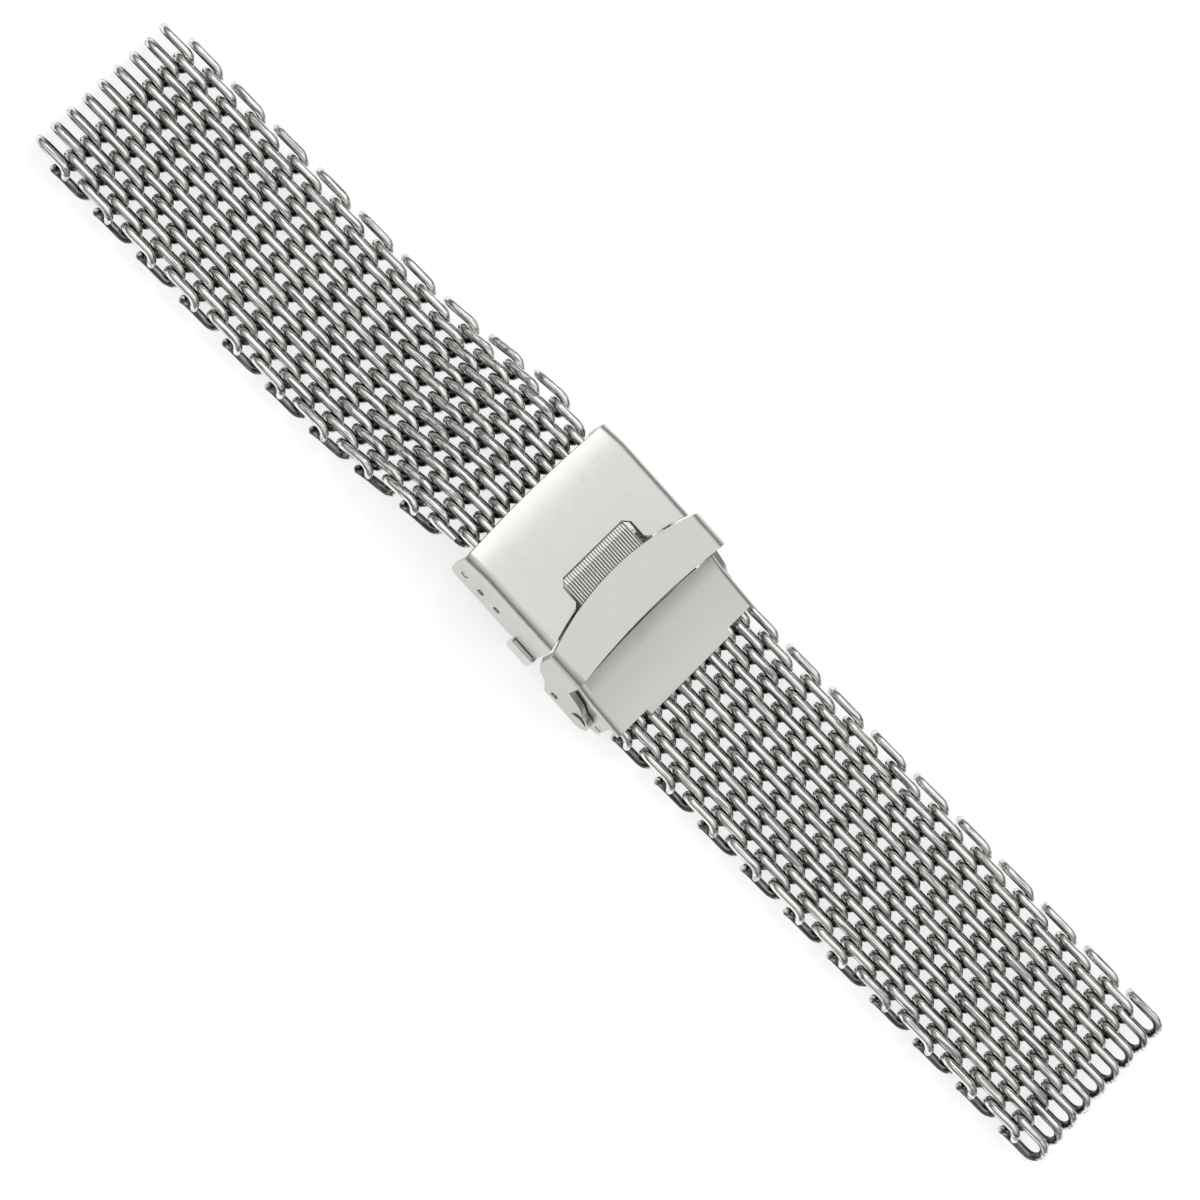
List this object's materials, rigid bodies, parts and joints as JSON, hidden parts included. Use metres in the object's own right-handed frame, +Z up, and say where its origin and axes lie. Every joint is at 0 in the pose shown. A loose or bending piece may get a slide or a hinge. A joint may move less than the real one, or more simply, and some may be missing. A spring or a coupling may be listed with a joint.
{
  "type": "watch bracelet",
  "caption": "Shark mesh watch bracelet of interlocked wire coils, each hinged in the next, with a fold-over clasp, a flip lock and side push buttons.",
  "frame": {"origin": "middle of the bracelet's length and width, on the surface that it lies on", "axes": "+X along the bracelet towards the end cover's half, +Y across it, +Z up, the outside of the bracelet"},
  "size_m": [0.1736, 0.0274, 0.0114],
  "materials": {
    "mesh_wire": "polished",
    "clasp_steel": "satin",
    "pin_steel": "satin"
  },
  "bodies": {
    "base": {"end_cover": "clasp_steel", "lower_blade": "clasp_steel", "end_spring_bar": "pin_steel", "lock_pivot_rivets": "pin_steel", "fold_hinge_pin": "pin_steel"},
    "fold_blade": {"upper_blade": "clasp_steel", "cover_hinge_pins": "pin_steel"},
    "cover": {"clasp_cover": "clasp_steel", "cover_hinge_ears": "clasp_steel", "adjust_spring_bar": "pin_steel"},
    "flip_lock": {"flip_lock": "clasp_steel"},
    "button_near": {"push_button_near": "clasp_steel"},
    "button_far": {"push_button_far": "clasp_steel"},
    "coil_left_01": {"coil_left_01": "mesh_wire"},
    "coil_left_02": {"coil_left_02": "mesh_wire"},
    "coil_left_03": {"coil_left_03": "mesh_wire"},
    "coil_left_04": {"coil_left_04": "mesh_wire"},
    "coil_left_05": {"coil_left_05": "mesh_wire"},
    "coil_left_06": {"coil_left_06": "mesh_wire"},
    "coil_left_07": {"coil_left_07": "mesh_wire"},
    "coil_left_08": {"coil_left_08": "mesh_wire"},
    "coil_left_09": {"coil_left_09": "mesh_wire"},
    "coil_left_10": {"coil_left_10": "mesh_wire"},
    "coil_left_11": {"coil_left_11": "mesh_wire"},
    "coil_left_12": {"coil_left_12": "mesh_wire"},
    "coil_left_13": {"coil_left_13": "mesh_wire"},
    "coil_left_14": {"coil_left_14": "mesh_wire"},
    "coil_left_15": {"coil_left_15": "mesh_wire"},
    "coil_left_16": {"coil_left_16": "mesh_wire"},
    "coil_left_17": {"coil_left_17": "mesh_wire"},
    "coil_left_18": {"coil_left_18": "mesh_wire"},
    "coil_left_19": {"coil_left_19": "mesh_wire"},
    "coil_left_20": {"coil_left_20": "mesh_wire"},
    "coil_right_01": {"coil_right_01": "mesh_wire"},
    "coil_right_02": {"coil_right_02": "mesh_wire"},
    "coil_right_03": {"coil_right_03": "mesh_wire"},
    "coil_right_04": {"coil_right_04": "mesh_wire"},
    "coil_right_05": {"coil_right_05": "mesh_wire"},
    "coil_right_06": {"coil_right_06": "mesh_wire"},
    "coil_right_07": {"coil_right_07": "mesh_wire"},
    "coil_right_08": {"coil_right_08": "mesh_wire"},
    "coil_right_09": {"coil_right_09": "mesh_wire"},
    "coil_right_10": {"coil_right_10": "mesh_wire"},
    "coil_right_11": {"coil_right_11": "mesh_wire"},
    "coil_right_12": {"coil_right_12": "mesh_wire"},
    "coil_right_13": {"coil_right_13": "mesh_wire"},
    "coil_right_14": {"coil_right_14": "mesh_wire"},
    "coil_right_15": {"coil_right_15": "mesh_wire"},
    "coil_right_16": {"coil_right_16": "mesh_wire"},
    "coil_right_17": {"coil_right_17": "mesh_wire"},
    "coil_right_18": {"coil_right_18": "mesh_wire"},
    "coil_right_19": {"coil_right_19": "mesh_wire"},
    "coil_right_20": {"coil_right_20": "mesh_wire"}
  },
  "joints": [
    {"name": "fold_hinge", "type": "hinge", "parent": "base", "child": "fold_blade", "pos_m": [-0.01133, 0, 0.00116], "axis": [0, -1, 0], "range_deg": [0, 140]},
    {"name": "cover_hinge", "type": "hinge", "parent": "fold_blade", "child": "cover", "pos_m": [-0.00106, 0, 0.00462], "axis": [0, 1, 0], "range_deg": [0, 140]},
    {"name": "flip_lock_hinge", "type": "hinge", "parent": "base", "child": "flip_lock", "pos_m": [0.00946, 0, 0.00171], "axis": [0, 1, 0], "range_deg": [0, 90]},
    {"name": "button_near_press", "type": "slide", "parent": "cover", "child": "button_near", "axis": [0, 1, 0], "range_m": [0, 0.0007], "stiffness_N_per_m": 300, "springref_m": -0.0004},
    {"name": "button_far_press", "type": "slide", "parent": "cover", "child": "button_far", "axis": [0, -1, 0], "range_m": [0, 0.0007], "stiffness_N_per_m": 300, "springref_m": -0.0004},
    {"name": "left_01_hinge", "type": "hinge", "parent": "cover", "child": "coil_left_01", "pos_m": [-0.01253, 0, 0.00721], "axis": [0, 1, 0], "range_deg": [-10, 8]},
    {"name": "left_02_hinge", "type": "hinge", "parent": "coil_left_01", "child": "coil_left_02", "pos_m": [-0.01566, 0, 0.00718], "axis": [0, 1, 0], "range_deg": [-8.98, 14.02]},
    {"name": "left_03_hinge", "type": "hinge", "parent": "coil_left_02", "child": "coil_left_03", "pos_m": [-0.01934, 0, 0.00689], "axis": [0, 1, 0], "range_deg": [-6.79, 16.21]},
    {"name": "left_04_hinge", "type": "hinge", "parent": "coil_left_03", "child": "coil_left_04", "pos_m": [-0.02298, 0, 0.0062], "axis": [0, 1, 0], "range_deg": [-7.43, 15.57]},
    {"name": "left_05_hinge", "type": "hinge", "parent": "coil_left_04", "child": "coil_left_05", "pos_m": [-0.02653, 0, 0.00515], "axis": [0, 1, 0], "range_deg": [-10.76, 12.24]},
    {"name": "left_06_hinge", "type": "hinge", "parent": "coil_left_05", "child": "coil_left_06", "pos_m": [-0.03004, 0, 0.00397], "axis": [0, 1, 0], "range_deg": [-15.24, 7.76]},
    {"name": "left_07_hinge", "type": "hinge", "parent": "coil_left_06", "child": "coil_left_07", "pos_m": [-0.03359, 0, 0.00293], "axis": [0, 1, 0], "range_deg": [-18.57, 4.43]},
    {"name": "left_08_hinge", "type": "hinge", "parent": "coil_left_07", "child": "coil_left_08", "pos_m": [-0.03722, 0, 0.00224], "axis": [0, 1, 0], "range_deg": [-19.21, 3.79]},
    {"name": "left_09_hinge", "type": "hinge", "parent": "coil_left_08", "child": "coil_left_09", "pos_m": [-0.04091, 0, 0.00195], "axis": [0, 1, 0], "range_deg": [-17.02, 5.98]},
    {"name": "left_10_hinge", "type": "hinge", "parent": "coil_left_09", "child": "coil_left_10", "pos_m": [-0.04461, 0, 0.00191], "axis": [0, 1, 0], "range_deg": [-13.55, 9.45]},
    {"name": "left_11_hinge", "type": "hinge", "parent": "coil_left_10", "child": "coil_left_11", "pos_m": [-0.04831, 0, 0.00191], "axis": [0, 1, 0], "range_deg": [-13, 10]},
    {"name": "left_12_hinge", "type": "hinge", "parent": "coil_left_11", "child": "coil_left_12", "pos_m": [-0.05201, 0, 0.00191], "axis": [0, 1, 0], "range_deg": [-13, 10]},
    {"name": "left_13_hinge", "type": "hinge", "parent": "coil_left_12", "child": "coil_left_13", "pos_m": [-0.05571, 0, 0.00191], "axis": [0, 1, 0], "range_deg": [-13, 10]},
    {"name": "left_14_hinge", "type": "hinge", "parent": "coil_left_13", "child": "coil_left_14", "pos_m": [-0.05941, 0, 0.00191], "axis": [0, 1, 0], "range_deg": [-13, 10]},
    {"name": "left_15_hinge", "type": "hinge", "parent": "coil_left_14", "child": "coil_left_15", "pos_m": [-0.06311, 0, 0.00191], "axis": [0, 1, 0], "range_deg": [-13, 10]},
    {"name": "left_16_hinge", "type": "hinge", "parent": "coil_left_15", "child": "coil_left_16", "pos_m": [-0.06681, 0, 0.00191], "axis": [0, 1, 0], "range_deg": [-13, 10]},
    {"name": "left_17_hinge", "type": "hinge", "parent": "coil_left_16", "child": "coil_left_17", "pos_m": [-0.07051, 0, 0.00191], "axis": [0, 1, 0], "range_deg": [-13, 10]},
    {"name": "left_18_hinge", "type": "hinge", "parent": "coil_left_17", "child": "coil_left_18", "pos_m": [-0.07421, 0, 0.00191], "axis": [0, 1, 0], "range_deg": [-13, 10]},
    {"name": "left_19_hinge", "type": "hinge", "parent": "coil_left_18", "child": "coil_left_19", "pos_m": [-0.07791, 0, 0.00191], "axis": [0, 1, 0], "range_deg": [-13, 10]},
    {"name": "left_20_hinge", "type": "hinge", "parent": "coil_left_19", "child": "coil_left_20", "pos_m": [-0.08161, 0, 0.00191], "axis": [0, 1, 0], "range_deg": [-13, 10]},
    {"name": "right_01_hinge", "type": "hinge", "parent": "base", "child": "coil_right_01", "pos_m": [0.01188, 0, 0.00191], "axis": [0, 1, 0], "range_deg": [-5, 13]},
    {"name": "right_02_hinge", "type": "hinge", "parent": "coil_right_01", "child": "coil_right_02", "pos_m": [0.015, 0, 0.00191], "axis": [0, 1, 0], "range_deg": [-5, 13]},
    {"name": "right_03_hinge", "type": "hinge", "parent": "coil_right_02", "child": "coil_right_03", "pos_m": [0.0187, 0, 0.00191], "axis": [0, 1, 0], "range_deg": [-10, 13]},
    {"name": "right_04_hinge", "type": "hinge", "parent": "coil_right_03", "child": "coil_right_04", "pos_m": [0.0224, 0, 0.00191], "axis": [0, 1, 0], "range_deg": [-10, 13]},
    {"name": "right_05_hinge", "type": "hinge", "parent": "coil_right_04", "child": "coil_right_05", "pos_m": [0.0261, 0, 0.00191], "axis": [0, 1, 0], "range_deg": [-10, 13]},
    {"name": "right_06_hinge", "type": "hinge", "parent": "coil_right_05", "child": "coil_right_06", "pos_m": [0.0298, 0, 0.00191], "axis": [0, 1, 0], "range_deg": [-10, 13]},
    {"name": "right_07_hinge", "type": "hinge", "parent": "coil_right_06", "child": "coil_right_07", "pos_m": [0.0335, 0, 0.00191], "axis": [0, 1, 0], "range_deg": [-10, 13]},
    {"name": "right_08_hinge", "type": "hinge", "parent": "coil_right_07", "child": "coil_right_08", "pos_m": [0.0372, 0, 0.00191], "axis": [0, 1, 0], "range_deg": [-10, 13]},
    {"name": "right_09_hinge", "type": "hinge", "parent": "coil_right_08", "child": "coil_right_09", "pos_m": [0.0409, 0, 0.00191], "axis": [0, 1, 0], "range_deg": [-10, 13]},
    {"name": "right_10_hinge", "type": "hinge", "parent": "coil_right_09", "child": "coil_right_10", "pos_m": [0.0446, 0, 0.00191], "axis": [0, 1, 0], "range_deg": [-10, 13]},
    {"name": "right_11_hinge", "type": "hinge", "parent": "coil_right_10", "child": "coil_right_11", "pos_m": [0.0483, 0, 0.00191], "axis": [0, 1, 0], "range_deg": [-10, 13]},
    {"name": "right_12_hinge", "type": "hinge", "parent": "coil_right_11", "child": "coil_right_12", "pos_m": [0.052, 0, 0.00191], "axis": [0, 1, 0], "range_deg": [-10, 13]},
    {"name": "right_13_hinge", "type": "hinge", "parent": "coil_right_12", "child": "coil_right_13", "pos_m": [0.0557, 0, 0.00191], "axis": [0, 1, 0], "range_deg": [-10, 13]},
    {"name": "right_14_hinge", "type": "hinge", "parent": "coil_right_13", "child": "coil_right_14", "pos_m": [0.0594, 0, 0.00191], "axis": [0, 1, 0], "range_deg": [-10, 13]},
    {"name": "right_15_hinge", "type": "hinge", "parent": "coil_right_14", "child": "coil_right_15", "pos_m": [0.0631, 0, 0.00191], "axis": [0, 1, 0], "range_deg": [-10, 13]},
    {"name": "right_16_hinge", "type": "hinge", "parent": "coil_right_15", "child": "coil_right_16", "pos_m": [0.0668, 0, 0.00191], "axis": [0, 1, 0], "range_deg": [-10, 13]},
    {"name": "right_17_hinge", "type": "hinge", "parent": "coil_right_16", "child": "coil_right_17", "pos_m": [0.0705, 0, 0.00191], "axis": [0, 1, 0], "range_deg": [-10, 13]},
    {"name": "right_18_hinge", "type": "hinge", "parent": "coil_right_17", "child": "coil_right_18", "pos_m": [0.0742, 0, 0.00191], "axis": [0, 1, 0], "range_deg": [-10, 13]},
    {"name": "right_19_hinge", "type": "hinge", "parent": "coil_right_18", "child": "coil_right_19", "pos_m": [0.0779, 0, 0.00191], "axis": [0, 1, 0], "range_deg": [-10, 13]},
    {"name": "right_20_hinge", "type": "hinge", "parent": "coil_right_19", "child": "coil_right_20", "pos_m": [0.0816, 0, 0.00191], "axis": [0, 1, 0], "range_deg": [-10, 13]}
  ],
  "couplings": [
    {"joint": "cover_hinge", "follows": "fold_hinge", "ratio": 1}
  ]
}
